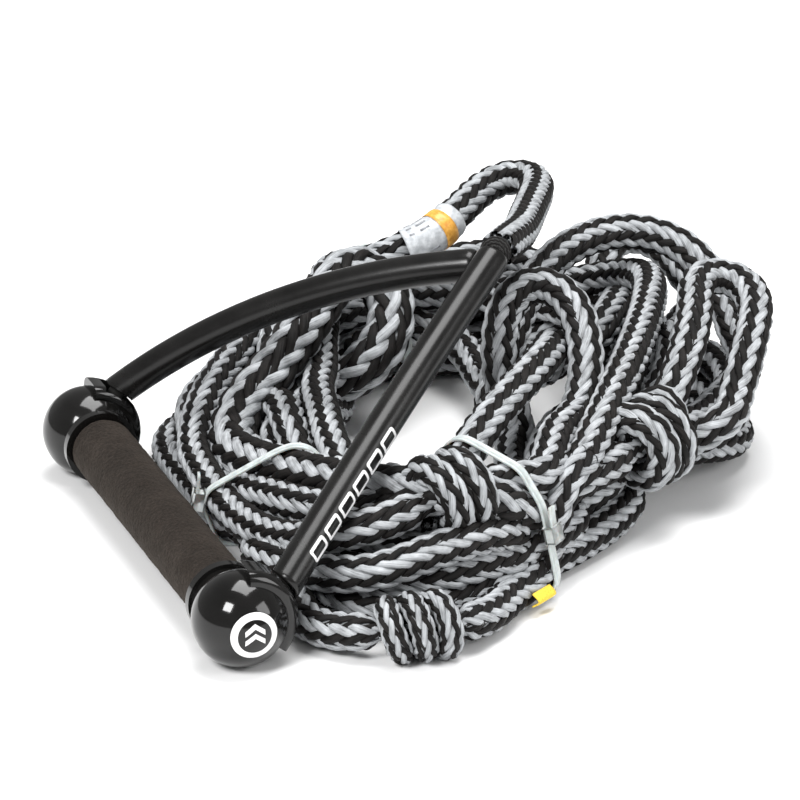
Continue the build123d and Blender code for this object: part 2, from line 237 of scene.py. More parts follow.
def leg_slots():
    """Lane and height of every pass of the rope at every anchor round the coil."""
    events = {anchor: [] for anchor in ANCHORS}
    for leg, (_, start, end, _) in enumerate(LEGS):
        low, high = min(start, end), max(start, end)
        for anchor in ANCHORS:
            turn = ceil((low - anchor) / 360)
            while anchor + 360 * turn < high:
                at = anchor + 360 * turn
                events[anchor].append((leg, abs(at - start), at))
                turn += 1
    slots = {leg: [] for leg in range(len(LEGS))}
    for anchor, passes in events.items():
        inner, outer = walls_at(anchor)
        low, high = RIGHT_SPAN if outer - inner > WIDE else (0.0, 1.0)
        lanes = max(2, int((outer - inner) * (high - low) / LANE))
        order = []
        while len(order) < len(passes):
            layer = len(order) // lanes
            for lane in rng.permutation(lanes):
                shift = 0.0 if layer % 2 else 0.5
                share = low + (high - low) * (lane + shift) / (lanes - 0.5)
                order.append((share, ROPE_R + LAYER * layer))
        for (leg, _, at), (lane, height) in zip(sorted(passes), order):
            slots[leg].append((at, lane, height))
    return slots


def leg_points(leg, slots, laid):
    """First guess of a leg: through its slots, from one stretch's end to the next's start."""
    name_from, start, end, name_to = LEGS[leg]
    first, last = laid[name_from][-1], laid[name_to][0]
    keys = [(start, lane_of(first), first[2])] + slots + [(end, lane_of(last), last[2])]
    keys.sort()
    angles = np.linspace(start, end, max(3, int(abs(end - start) / 4)))
    at, lanes, heights = (np.array(column) for column in zip(*keys))
    lane = np.interp(angles, at, lanes)
    height = np.interp(angles, at, heights)
    inner, outer = walls_at(angles % 360)
    radius = inner + ROPE_R + lane * (outer - inner - 2 * ROPE_R)
    turn = np.radians(angles)
    x = COIL_CENTRE[0] + radius * np.cos(turn)
    y = COIL_CENTRE[1] + radius * np.sin(turn)
    return np.stack([x, y, height], 1)


def run_along(points):
    """Length of the line up to each of its points."""
    return np.concatenate([[0], np.cumsum(np.linalg.norm(np.diff(points, axis=0), axis=1))])


def spaced(points, step):
    """The same line with points about one step apart, both ends kept."""
    points = np.asarray(points, float)
    along = run_along(points)
    at = np.linspace(0, along[-1], max(2, round(along[-1] / step) + 1))
    return np.stack([np.interp(at, along, column) for column in points.T], 1)


def nurbs_line(controls):
    """Points of the smooth spline that has these control points."""
    curve = bpy.data.curves.new("route", "CURVE")
    curve.dimensions = "3D"
    curve.resolution_u = 8
    spline = curve.splines.new("NURBS")
    spline.points.add(len(controls) - 1)
    for place, control in zip(spline.points, controls):
        place.co = (*control, 1)
    spline.order_u = 3
    spline.use_endpoint_u = True
    holder = bpy.data.objects.new("route", curve)
    mesh = bpy.data.meshes.new_from_object(holder)
    line = np.array([v.co for v in mesh.vertices], float)
    bpy.data.meshes.remove(mesh)
    bpy.data.objects.remove(holder)
    bpy.data.curves.remove(curve)
    return line


def settle(points, free, radius):
    """Lays the loose turns down: they fall, bend gently and rest beside each other."""
    p = points.copy()
    home = points[:, :2].copy()
    rest = np.minimum(np.linalg.norm(np.diff(p, axis=0), axis=1), NODE_STEP * SLACK)
    index = np.arange(len(p))
    far = np.abs(index[:, None] - index[None, :]) > NEIGHBOURS
    reach = (radius[:, None] + radius[None, :]) * PRESSED
    soft = free.astype(float)
    for step in range(SETTLE_STEPS):
        p[:, 2] -= soft * FALL * (1 - step / SETTLE_STEPS)
        p[:, :2] += soft[:, None] * (home - p[:, :2]) * HOMING
        bend = np.zeros_like(p)
        bend[1:-1] = (p[:-2] + p[2:]) / 2 - p[1:-1]
        p += soft[:, None] * bend * BENDING
        for _ in range(2):
            gap = np.diff(p, axis=0)
            length = np.linalg.norm(gap, axis=1)
            pull = gap * ((length - rest) / np.maximum(length, TINY))[:, None] * STRETCHING
            p[:-1] += soft[:-1, None] * pull
            p[1:] -= soft[1:, None] * pull
        for _ in range(2):
            delta = p[:, None, :] - p[None, :, :]
            apart = np.sqrt((delta**2).sum(2)) + TINY
            hit = far & (apart < reach)
            push = np.where(hit, (reach - apart) / apart, 0.0)
            share = soft[:, None] / np.maximum(soft[:, None] + soft[None, :], TINY)
            move = (delta * (push * share)[:, :, None]).sum(1)
            count = np.maximum(hit.sum(1), 1)
            p += move / count[:, None] ** 0.5 * PUSHING
        off = p[:, :2] - COIL_CENTRE
        out = np.linalg.norm(off, axis=1) + TINY
        inner, outer = walls_at(np.degrees(np.arctan2(off[:, 1], off[:, 0])) % 360)
        want = np.clip(out, inner + radius, outer - radius)
        p[:, :2] += soft[:, None] * off * ((want - out) / out * WALLING)[:, None]
        plane = BAR_HEIGHT - PLANE_DROP + PLANE_SLOPE * (p[:, 0] - HANDLE_X)
        top = np.minimum(plane - radius * PLANE_TILT, PILE_TOP - radius * 0.5)
        p[:, 2] = np.where(free, np.minimum(p[:, 2], np.maximum(top, radius)), p[:, 2])
        away = (p[:, :2] - MOUND_PLACE) / MOUND_SPREAD
        ground = radius + MOUND_HEIGHT * np.exp(-(away**2).sum(1))
        p[:, 2] = np.where(free, np.maximum(p[:, 2], ground), p[:, 2])
    return p


def with_leads():
    """Every stretch's points, with one more where the rope comes in and goes out smoothly."""
    laid = {name: [np.array(point) for point in points] for name, points in ROUTES.items()}
    for start_name, start, end, end_name in LEGS:
        way = 1 if end > start else -1
        for name, at, back in ((start_name, -1, -2), (end_name, 0, 1)):
            point, before = np.array(ROUTES[name][at]), np.array(ROUTES[name][back])
            ahead = (point - before) / np.linalg.norm(point - before)
            turn = bearing(point)
            sign = way if at else -way
            blend = ahead + sign * np.array((-sin(turn), cos(turn), 0.0))
            if np.linalg.norm(blend) < SAME_WAY:
                continue
            lead = point + blend / np.linalg.norm(blend) * LEAD_IN
            lead[2] = max(lead[2], ROPE_R)
            laid[name] = laid[name] + [lead] if at else [lead] + laid[name]
    return laid


def angle_near(point, angle):
    """Angle of a point about the hole's middle, on the turn nearest to a given angle."""
    found = degrees(bearing(point))
    return found + 360 * round((angle - found) / 360)


def whole_rope():
    """The rope's control points from the splice to its free end, and marks along them."""
    laid = with_leads()
    for leg, (start_name, start, end, end_name) in enumerate(LEGS):
        start = angle_near(laid[start_name][-1], start)
        end = angle_near(laid[end_name][0], end)
        LEGS[leg] = (start_name, start, end, end_name)
    slots = leg_slots()
    pieces, marks = [], []
    names = [LEGS[0][0]] + [leg[3] for leg in LEGS]
    for leg, name in enumerate(names):
        dense = spaced(nurbs_line(laid[name]), NODE_STEP)
        thick = ROUTE_R.get(name, ROPE_R)
        pieces.append(("route", name, dense, np.full(len(dense), thick)))
        if leg < len(LEGS):
            points = leg_points(leg, slots[leg], laid)
            ends = laid[name][-1], laid[names[leg + 1]][0]
            run = spaced(np.vstack([ends[0], points, ends[1]]), NODE_STEP)[1:-1]
            thick = (ROPE_R + FAT_R) / 2 if leg == FAT_LEG else ROPE_R
            pieces.append(("leg", name, run, np.full(len(run), thick)))
    points = np.vstack([piece[2] for piece in pieces])
    radius = np.concatenate([piece[3] for piece in pieces])
    free = np.concatenate([np.full(len(piece[2]), piece[0] == "leg") for piece in pieces])
    settled = settle(points, free, radius)
    controls, at = [], 0
    for order, (kind, name, run, _) in enumerate(pieces):
        if kind == "route":
            own = [tuple(point) for point in laid[name]].index(tuple(ROUTES[name][0]))
            marks.append((name, len(controls) + own))
            controls += laid[name]
        else:
            leg = settled[at : at + len(run)]
            ahead = laid[pieces[order + 1][1]]
            controls += eased(controls[-2:], leg[1:-1:CONTROL_STRIDE], ahead[:2])
        at += len(run)
    marks.append(("end", len(controls)))
    return np.array(controls), marks


def turn_between(a, b, c):
    """Angle in degrees that a line through three points turns by at the middle one."""
    first, second = Vector(b) - Vector(a), Vector(c) - Vector(b)
    return degrees(first.angle(second, 0.0))


def trimmed(before, leg):
    """A leg without its first point if that would turn the rope back on itself."""
    if len(leg) <= 4 or np.linalg.norm(leg[1] - before[1]) >= LONGEST_STEP:
        return leg
    sharp = turn_between(before[0], before[1], leg[0])
    sharp = max(sharp, turn_between(before[1], leg[0], leg[1]))
    if sharp > SHARPEST or np.linalg.norm(leg[0] - before[1]) < SHORTEST:
        return leg[1:]
    return leg


def eased(before, leg, after):
    """A leg that goes on smoothly from the points before it to those after it."""
    leg = list(leg)
    for _ in range(2):
        leg = trimmed(before, leg)
        leg = trimmed(after[::-1], leg[::-1])[::-1]
    for _ in range(4):
        whole = [before[1]] + leg + [after[0]]
        for i in range(len(leg)):
            if turn_between(*whole[i : i + 3]) > SHARPEST:
                leg[i] = (whole[i] + whole[i + 1] + whole[i + 2]) / 3
    return leg


controls, marks = whole_rope()
SAMPLE = 0.0028  # distance of the braid's cross-sections
spline_points = nurbs_line(controls)
spline_run = run_along(spline_points)
line = spaced(spline_points, SAMPLE)


def along_of(name, end):
    """Sample where a listed stretch starts (0) or ends (-1)."""
    control = dict(marks)[name] + (0 if end == 0 else len(ROUTES[name]) - 1)
    share = min(max(control - 0.5, 0), len(controls) - 2) / (len(controls) - 2)
    run = np.interp(share * (len(spline_points) - 1), np.arange(len(spline_points)), spline_run)
    return round(run / spline_run[-1] * (len(line) - 1))


STOUT_BEFORE, STOUT_TAPER = 0.04, 0.05  # start ahead of the stretch, length of each taper


def rope_radius():
    """Radius at each sample, with the stout stretch tapered at both ends."""
    start, stop = along_of("curl", 0) - int(STOUT_BEFORE / SAMPLE), along_of("curl", -1)
    index = np.arange(len(line))
    taper = STOUT_TAPER / SAMPLE
    inside = np.clip(np.minimum(index - start, stop - index) / taper + 0.5, 0, 1)
    inside = inside * inside * (3 - 2 * inside)
    return ROPE_R + (FAT_R - ROPE_R) * inside, start, stop


radius_along, fat_start, fat_stop = rope_radius()


def knot_span(stretch, skip_first=0, skip_last=0):
    """First and last sample of a stretch, less a few samples at its ends."""
    return along_of(stretch, 0) + skip_first, along_of(stretch, -1) - skip_last


# overhand knots: first and last sample, length, radius of the wrapping rope, radius inside, turns
KNOTS = {
    "knot_middle": (*knot_span("knot_middle"), 0.038, 0.0072, 0.0055, 2.1),
    "knot_right": (*knot_span("knot_right"), 0.046, 0.0078, 0.0058, 2.3),
    "knot_tail": (*knot_span("tail", 4, 14), 0.040, 0.0056, 0.0040, 3.0),
}
KNOT_EDGE, KNOT_TAPER = 0.004, 0.016
NO_LIMIT_R = ROPE_R * 1.6  # more than the stoutest rope
for first, last, length, _, inside, _ in KNOTS.values():
    middle = (first + last) // 2
    away = np.abs(np.arange(len(line)) - middle) * SAMPLE
    share = np.clip((away - length / 2 + KNOT_EDGE) / KNOT_TAPER, 0, 1)
    radius_along = np.minimum(radius_along, inside + (NO_LIMIT_R - inside) * share)


def unit_rows(rows):
    return rows / np.linalg.norm(rows, axis=1)[:, None]


def frames_of(points):
    """Unit tangents and a pair of normals carried along the line without twist."""
    tangent = unit_rows(np.gradient(points, axis=0))
    normal = np.zeros_like(points)
    start = np.cross(tangent[0], (0, 0, 1.0))
    if np.linalg.norm(start) < 1e-3:
        start = np.cross(tangent[0], (1.0, 0, 0))
    normal[0] = start / np.linalg.norm(start)
    for i in range(1, len(points)):
        carried = normal[i - 1] - tangent[i] * (normal[i - 1] @ tangent[i])
        normal[i] = carried / np.linalg.norm(carried)
    return tangent, normal, np.cross(tangent, normal)


# ---- braid
STRANDS = 12  # each way round
LOBES = 5  # how often a strand comes on top in one turn round the rope
LOBE_TWIST = 2.25  # radians per metre
STRAND_RING = 6  # vertices round a strand
PITCH_SHARE = 5.8  # pitch of a strand in rope diameters
# a strand's distance from the rope's middle, its weave in and out, half width and half
# thickness, all in rope radii
STRAND_OUT, STRAND_WEAVE, STRAND_WIDTH, STRAND_THICK = 0.73, 0.13, 0.215, 0.145
STRAND_SHIFT = (1.37, 0.113)  # shift of the yarn's texture from one strand to the next
YARNS = ("yarn_white", "yarn_black")


def steps_of(points):
    """Distance from point to point along a line, evened out."""
    return np.linalg.norm(np.gradient(points, axis=0), axis=1)


def braid_mesh(name, points, frames, radius, phase, picked=slice(None)):
    """Braid of pale and black strands along a line: a pale strand winds one way, a black
    one the other, and each lies on top along its own lobes of the rope."""
    _, normal, binormal = (f[picked] for f in frames)
    points, radius, phase = points[picked], radius[picked], phase[picked]
    count = len(points)
    ring = np.arange(STRAND_RING) * 2 * pi / STRAND_RING
    run = np.cumsum(steps_of(points))
    vertices, slots = [], []
    for way in (1, -1):
        for strand in range(STRANDS):
            theta = way * phase + 2 * pi * (strand + 0.5 * (way < 0)) / STRANDS
            over = np.cos(LOBES * (theta - run * LOBE_TWIST))
            middle = radius * (STRAND_OUT + way * STRAND_WEAVE * over)
            radial = normal * np.cos(theta)[:, None] + binormal * np.sin(theta)[:, None]
            centre = points + radial * middle[:, None]
            along = unit_rows(np.gradient(centre, axis=0))
            side = unit_rows(np.cross(along, radial))
            up = np.cross(side, along)
            across = (radius * STRAND_WIDTH)[:, None] * np.cos(ring)
            deep = (radius * STRAND_THICK)[:, None] * np.sin(ring)
            tube = side[:, None, :] * across[:, :, None] + up[:, None, :] * deep[:, :, None]
            vertices.append((centre[:, None, :] + tube).reshape(-1, 3))
            slots.append(0 if way > 0 else 1)
    faces_per = (count - 1) * STRAND_RING
    rows = np.arange(count - 1)[:, None] * STRAND_RING
    around = np.arange(STRAND_RING)[None, :]
    after = (around + 1) % STRAND_RING
    quad = np.stack(
        [rows + around, rows + after, rows + STRAND_RING + after, rows + STRAND_RING + around], 2
    ).reshape(-1, 4)
    quads = np.concatenate([quad + k * count * STRAND_RING for k in range(2 * STRANDS)])
    left, low = np.broadcast_arrays(around / STRAND_RING, run[:-1, None])
    right, high = np.broadcast_arrays((around + 1) / STRAND_RING, run[1:, None])
    corners = (left, low), (right, low), (right, high), (left, high)
    uv = np.stack([np.stack(corner, 2) for corner in corners], 2)
    shift = np.array(STRAND_SHIFT)
    uv = np.concatenate([uv.reshape(-1, 2) + k * shift for k in range(2 * STRANDS)])
    mesh = bpy.data.meshes.new(name)
    mesh.vertices.add(2 * STRANDS * count * STRAND_RING)
    mesh.vertices.foreach_set("co", np.concatenate(vertices).ravel())
    mesh.loops.add(len(quads) * 4)
    mesh.loops.foreach_set("vertex_index", quads.ravel().astype(np.int32))
    mesh.polygons.add(len(quads))
    mesh.polygons.foreach_set("loop_start", np.arange(len(quads), dtype=np.int32) * 4)
    mesh.polygons.foreach_set("loop_total", np.full(len(quads), 4, np.int32))
    mesh.polygons.foreach_set("material_index", np.repeat(slots, faces_per).astype(np.int32))
    mesh.polygons.foreach_set("use_smooth", np.ones(len(quads), bool))
    layer = mesh.uv_layers.new(name="strand")
    layer.data.foreach_set("uv", uv.ravel())
    mesh.update()
    mesh.validate()
    for yarn in YARNS:
        mesh.materials.append(MATERIALS[yarn])
    return mesh


# ---- materials
MATERIALS = {}
NOISE_ROUGHNESS = 0.55


def new_material(name, roughness, **sockets):
    material = bpy.data.materials.new(name)
    material.use_nodes = True
    shader = material.node_tree.nodes["Principled BSDF"]
    shader.inputs["Roughness"].default_value = roughness
    for socket, value in sockets.items():
        shader.inputs[socket.replace("_", " ")].default_value = value
    MATERIALS[name] = material
    return material.node_tree, shader


def noise_value(tree, scale, detail, vector):
    node = tree.nodes.new("ShaderNodeTexNoise")
    node.inputs["Scale"].default_value = scale
    node.inputs["Detail"].default_value = detail
    node.inputs["Roughness"].default_value = NOISE_ROUGHNESS
    tree.links.new(vector, node.inputs["Vector"])
    return node.outputs["Fac"]


def colour_from(tree, shader, source, stops):
    """Base colour that goes through the stops with a texture's value."""
    node = tree.nodes.new("ShaderNodeValToRGB")
    elements = node.color_ramp.elements
    while len(elements) < len(stops):
        elements.new(0.5)
    for element, (place, colour) in zip(elements, stops):
        element.position = place
        element.color = (*colour, 1)
    tree.links.new(source, node.inputs["Fac"])
    tree.links.new(node.outputs["Color"], shader.inputs["Base Color"])


def bump_from(tree, shader, *layers):
    """Bumps on each other; a layer is a texture's value, a strength and a height in metres."""
    below = None
    for height, strength, distance in layers:
        node = tree.nodes.new("ShaderNodeBump")
        node.inputs["Strength"].default_value = strength
        node.inputs["Distance"].default_value = distance
        tree.links.new(height, node.inputs["Height"])
        if below is not None:
            tree.links.new(below, node.inputs["Normal"])
        below = node.outputs["Normal"]
    tree.links.new(below, shader.inputs["Normal"])


def scaled(tree, source, scale):
    node = tree.nodes.new("ShaderNodeMapping")
    node.inputs["Scale"].default_value = scale
    tree.links.new(source, node.inputs["Vector"])
    return node.outputs["Vector"]


def object_vector(tree, scale=(1, 1, 1)):
    return scaled(tree, tree.nodes.new("ShaderNodeTexCoord").outputs["Object"], scale)


def uv_vector(tree, scale):
    return scaled(tree, tree.nodes.new("ShaderNodeUVMap").outputs["UV"], scale)


def mixed(tree, first, second, share):
    node = tree.nodes.new("ShaderNodeMix")
    node.data_type = "FLOAT"
    node.inputs["Factor"].default_value = share
    tree.links.new(first, node.inputs["A"])
    tree.links.new(second, node.inputs["B"])
    return node.outputs["Result"]


def rough_from(tree, shader, source, low, high):
    node = tree.nodes.new("ShaderNodeMapRange")
    node.inputs["To Min"].default_value = low
    node.inputs["To Max"].default_value = high
    tree.links.new(source, node.inputs["Value"])
    tree.links.new(node.outputs["Result"], shader.inputs["Roughness"])


def yarn_material(name, dark, mid, light, roughness, sheen):
    """Bundle of fine filaments: streaks along the strand, uneven shade, a soft sheen."""
    sockets = {"Sheen_Weight": sheen, "Specular_IOR_Level": 0.22}
    tree, shader = new_material(name, roughness, **sockets)
    streaks = noise_value(tree, 1.0, 3.0, uv_vector(tree, (26.0, 130.0, 1)))
    patches = noise_value(tree, 1.0, 3.0, uv_vector(tree, (2.0, 170.0, 1)))
    both = mixed(tree, streaks, patches, 0.5)
    colour_from(tree, shader, both, [(0.36, dark), (0.50, mid), (0.66, light)])
    fibres = noise_value(tree, 1.0, 2.0, uv_vector(tree, (34.0, 60.0, 1)))
    bump_from(tree, shader, (fibres, 0.75, 0.0007))
    rough_from(tree, shader, streaks, roughness - 0.12, roughness + 0.15)


def grip_material():
    """Brushed foam rubber with a short nap, warm near-black."""
    sheen = {"Sheen_Weight": 0.12, "Sheen_Roughness": 0.6, "Sheen_Tint": (0.42, 0.34, 0.27, 1)}
    tree, shader = new_material("suede", 0.95, Specular_IOR_Level=0.2, **sheen)
    patches = noise_value(tree, 55.0, 5.0, object_vector(tree))
    nap = noise_value(tree, 900.0, 3.0, object_vector(tree, (1, 0.6, 1)))
    fine = noise_value(tree, 2600.0, 2.0, object_vector(tree))
    both = mixed(tree, patches, nap, 0.55)
    dark, mid, light = (0.004, 0.003, 0.0024), (0.0095, 0.007, 0.0056), (0.021, 0.016, 0.013)
    colour_from(tree, shader, both, [(0.34, dark), (0.5, mid), (0.66, light)])
    bump_from(tree, shader, (nap, 0.9, 0.0007), (fine, 0.5, 0.0003))


def gloss_material(name, colour, low, high, coat):
    """Moulded plastic: a clear gloss with faint smears and moulding ripple."""
    sockets = {"Coat_Weight": coat, "Coat_Roughness": 0.06, "Specular_IOR_Level": 0.35}
    tree, shader = new_material(name, low, **sockets)
    smear = noise_value(tree, 60.0, 5.0, object_vector(tree, (1, 0.5, 1)))
    smeared = tuple(c * 1.9 + 0.002 for c in colour)
    colour_from(tree, shader, smear, [(0.35, colour), (0.7, smeared)])
    rough_from(tree, shader, smear, low, high)
    ripple = noise_value(tree, 140.0, 2.0, object_vector(tree))
    bump_from(tree, shader, (ripple, 0.10, 0.0003))


def plain_material(name, dark, light, roughness, scale, bump_depth, **sockets):
    """Uneven shade and grain for small moulded, printed or woven pieces."""
    tree, shader = new_material(name, roughness, **sockets)
    grain = noise_value(tree, scale, 5.0, object_vector(tree))
    colour_from(tree, shader, grain, [(0.35, dark), (0.65, light)])
    bump_from(tree, shader, (grain, 0.4, bump_depth))
    rough_from(tree, shader, grain, roughness - 0.08, roughness + 0.1)


yarn_material(
    "yarn_white", (0.16, 0.165, 0.17), (0.38, 0.395, 0.41), (0.56, 0.58, 0.60), 0.55, 0.0
)
yarn_material(
    "yarn_black", (0.002, 0.002, 0.002), (0.006, 0.005, 0.0045), (0.018, 0.015, 0.014), 0.6, 0.0
)
yarn_material(
    "core_yarn", (0.008, 0.008, 0.008), (0.020, 0.019, 0.018), (0.05, 0.05, 0.05), 0.7, 0.1
)
grip_material()
gloss_material("ball_gloss", (0.003, 0.0028, 0.0026), 0.06, 0.16, 0.15)
gloss_material("tube_gloss", (0.003, 0.0028, 0.0026), 0.20, 0.32, 0.0)
plain_material("print_white", (0.72, 0.72, 0.72), (0.86, 0.86, 0.86), 0.45, 900.0, 0.00003)
plain_material(
    "nylon", (0.40, 0.42, 0.41), (0.56, 0.58, 0.57), 0.42, 260.0, 0.00006, Subsurface_Weight=0.1
)
plain_material("anodised", (0.60, 0.61, 0.63), (0.72, 0.73, 0.75), 0.3, 700.0, 0.00003, Metallic=1.0)
plain_material("foam", (0.62, 0.61, 0.57), (0.80, 0.79, 0.75), 0.9, 1400.0, 0.0003)
plain_material("label_film", (0.40, 0.42, 0.44), (0.62, 0.64, 0.66), 0.30, 420.0, 0.0002)
plain_material("label_ink", (0.20, 0.21, 0.23), (0.36, 0.37, 0.39), 0.4, 500.0, 0.00005)
plain_material("band_orange", (0.62, 0.26, 0.03), (0.86, 0.47, 0.09), 0.35, 500.0, 0.0001)
plain_material("tag_yellow", (0.62, 0.42, 0.03), (0.85, 0.62, 0.06), 0.75, 1500.0, 0.0002)

# ---- rope pieces
frames = frames_of(line)


def braid_phase():
    """Angle of the strands along the rope: slower where the rope is stout."""
    pitch = PITCH_SHARE * 2 * radius_along
    return np.concatenate([[0], np.cumsum(2 * pi / pitch[1:] * SAMPLE)])


phase_along = braid_phase()


def add_object(name, mesh, body="rope"):
    piece = bpy.data.objects.new(name, mesh)
    SCENE.collection.objects.link(piece)
    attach(piece, body)
    return piece


def add_solid(name, mesh, material, body="rope"):
    """A piece of one material, shaded smooth."""
    mesh.materials.append(MATERIALS[material])
    mesh.shade_smooth()
    return add_object(name, mesh, body)


def solid_mesh(name, vertices, faces):
    mesh = bpy.data.meshes.new(name)
    mesh.from_pydata(vertices, [], faces)
    mesh.update()
    return mesh


def ring_faces(first, last, around, closed=True):
    """Faces between two rings of vertices, given by the index of each ring's first one."""
    return [
        (first + k, first + (k + 1) % around, last + (k + 1) % around, last + k)
        for k in range(around if closed else around - 1)
    ]


def line_at(at):
    """Points of the rope's line, and its two normals there, at samples that may be fractions."""
    index = np.arange(len(line))
    _, normal, binormal = frames
    return (
        np.stack([np.interp(at, index, column) for column in rows.T], 1)
        for rows in (line, normal, binormal)
    )


def rope_cords():
    """The rope in lengths that follow each other without a gap."""
    cuts = [0, along_of("lead", -1), along_of("side", 0), along_of("right_loop", 0)]
    cuts += [along_of("arch", 0), along_of("crossing", 0), fat_start, fat_stop]
    cuts += [along_of("eye", 0), along_of("bridge", 0), len(line) - 1]
    names = ["lead", "first_turns", "side", "right_loop", "arch", "crossing", "stout"]
    names += ["inner", "eye", "end"]
    stands_for = {
        "lead": ["rope_lead"],
        "right_loop": ["rope_right_loop"],
        "arch": ["rope_arch"],
        "crossing": ["rope_crossing"],
        "first_turns": ["rope_coil"],
        "eye": ["rope_eye"],
        "end": ["rope_bridge", "rope_tail"],
    }
    cords = {}
    for name, first, last in zip(names, cuts, cuts[1:]):
        picked = slice(first, last + 1)
        mesh = braid_mesh(f"cord_{name}", line, frames, radius_along, phase_along, picked)
        piece = add_object(f"cord_{name}", mesh)
        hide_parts(*stands_for.get(name, []))
        cords[name] = (piece, picked)
    return cords


cords = rope_cords()


def knot_piece(name, first, last, length, wrap_r, inside, turns):
    """Wraps of a knot, wound round the rope's own line and tucked in at both ends."""
    count = int(turns * 2 * pi * (inside + wrap_r) / 0.0022)
    share = np.linspace(0, 1, count)
    at = (first + last) / 2 + (share - 0.5) * (length - 2 * wrap_r) / SAMPLE
    place, normal, binormal = line_at(at)
    tuck = np.clip(np.minimum(share, 1 - share) / 0.07, 0, 1)
    reach = (inside + wrap_r) * (0.45 + 0.55 * tuck * tuck * (3 - 2 * tuck))
    turn = 2 * pi * turns * share + 0.8
    centre = place + reach[:, None] * (
        np.cos(turn)[:, None] * normal + np.sin(turn)[:, None] * binormal
    )
    radius = wrap_r * (0.72 + 0.28 * tuck)
    phase = np.cumsum(steps_of(centre)) * 2 * pi / (PITCH_SHARE * 2 * wrap_r)
    mesh = braid_mesh(name + "_wraps", centre, frames_of(centre), radius, phase)
    piece = add_object(name + "_wraps", mesh)
    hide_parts(name)
    return piece


knots = {name: knot_piece(name, *facts) for name, facts in KNOTS.items()}


# ---- cable ties
def hull_of(points):
    """Convex outline of flat points, counter-clockwise."""
    points = sorted(map(tuple, points))
    halves = []
    for ordered in (points, points[::-1]):
        half = []
        for point in ordered:
            while len(half) > 1:
                (ax, ay), (bx, by) = half[-2], half[-1]
                if (bx - ax) * (point[1] - ay) - (by - ay) * (point[0] - ax) > 0:
                    break
                half.pop()
            half.append(point)
        halves += half[:-1]
    return np.array(halves)


TIES = {
    "left": ((-0.012, 0.002), (-0.046, 0.011)),
    "back": ((0.098, 0.146), (0.088, 0.212)),
    "front": ((0.044, -0.060), (0.074, -0.094)),
}
TIE_WIDTH, TIE_THICK = 0.0048, 0.0013
HEAD_SIZE, HEAD_BEVEL = (0.0072, 0.0068, 0.0044), 0.0007
# a strap takes in what crosses its plane this near, this far past its ends and this low
TIE_NEAR, TIE_PAST, TIE_TOP = 0.0035, 0.011, 0.066
TIE_STEP = 0.0012


def tie_loop(place):
    """Strap's line round every rope that crosses its plane, pulled tight."""
    inner, outer = (np.array(end) for end in TIES[place])
    across = (outer - inner) / np.linalg.norm(outer - inner)
    along = np.array((-across[1], across[0]))
    middle = (inner + outer) / 2
    half = np.linalg.norm(outer - inner) / 2
    found = []
    ring = np.linspace(0, 2 * pi, 24, endpoint=False)
    off = line[:, :2] - middle
    near = (np.abs(off @ along) < TIE_NEAR) & (np.abs(off @ across) < half + TIE_PAST)
    for z, r, a in zip(line[near, 2], radius_along[near], (off @ across)[near]):
        if z < TIE_TOP:
            found += [(a + r * cos(t), z + r * sin(t)) for t in ring]
    hull = hull_of(found)
    outline = spaced(np.vstack([hull, hull[:1]]), TIE_STEP)[:-1]
    outline[:, 1] = np.maximum(outline[:, 1], TIE_THICK * 0.6)
    for _ in range(3):
        outline = (np.roll(outline, 1, 0) + 2 * outline + np.roll(outline, -1, 0)) / 4
        outline[:, 1] = np.maximum(outline[:, 1], TIE_THICK)
    places = np.array([(*(middle + across * a), z) for a, z in outline])
    return places, Vector((*across, 0)), Vector((*-along, 0))


def strip_mesh(name, loop, side, width, thick, closed):
    """Flat strap with rounded edges and a ribbed middle along a line."""
    count = len(loop)
    following = np.roll(loop, -1, 0) - np.roll(loop, 1, 0)
    if not closed:
        following = np.gradient(loop, axis=0)
    side = np.array(side)
    out = unit_rows(np.cross(unit_rows(following), side))
    shape = [(-0.5, 0.15), (-0.42, 0.0), (0.42, 0.0), (0.5, 0.15), (0.5, 0.85), (0.40, 1.0)]
    shape += [(0.30, 1.0), (0.26, 0.82), (-0.26, 0.82), (-0.30, 1.0), (-0.40, 1.0), (-0.5, 0.85)]
    vertices = [
        tuple(loop[i] + side * x * width + out[i] * y * thick) for i in range(count) for x, y in shape
    ]
    m = len(shape)
    faces = []
    for i in range(count if closed else count - 1):
        faces += ring_faces(i * m, (i + 1) % count * m, m)
    if not closed:
        faces += [tuple(range(m))[::-1], tuple(range((count - 1) * m, count * m))]
    return solid_mesh(name, vertices, faces)


def soft_box(name, size, place, axes, bevel):
    """Box with rounded edges, turned to three axes."""
    grid = bmesh.new()
    bmesh.ops.create_cube(grid, size=1.0)
    for vertex in grid.verts:
        local = [vertex.co[k] * size[k] for k in range(3)]
        vertex.co = Vector(place) + sum((axes[k] * local[k] for k in range(3)), Vector())
    bmesh.ops.bevel(grid, geom=grid.edges[:], offset=bevel, segments=3, affect="EDGES", profile=0.6)
    mesh = bpy.data.meshes.new(name)
    grid.to_mesh(mesh)
    grid.free()
    return mesh


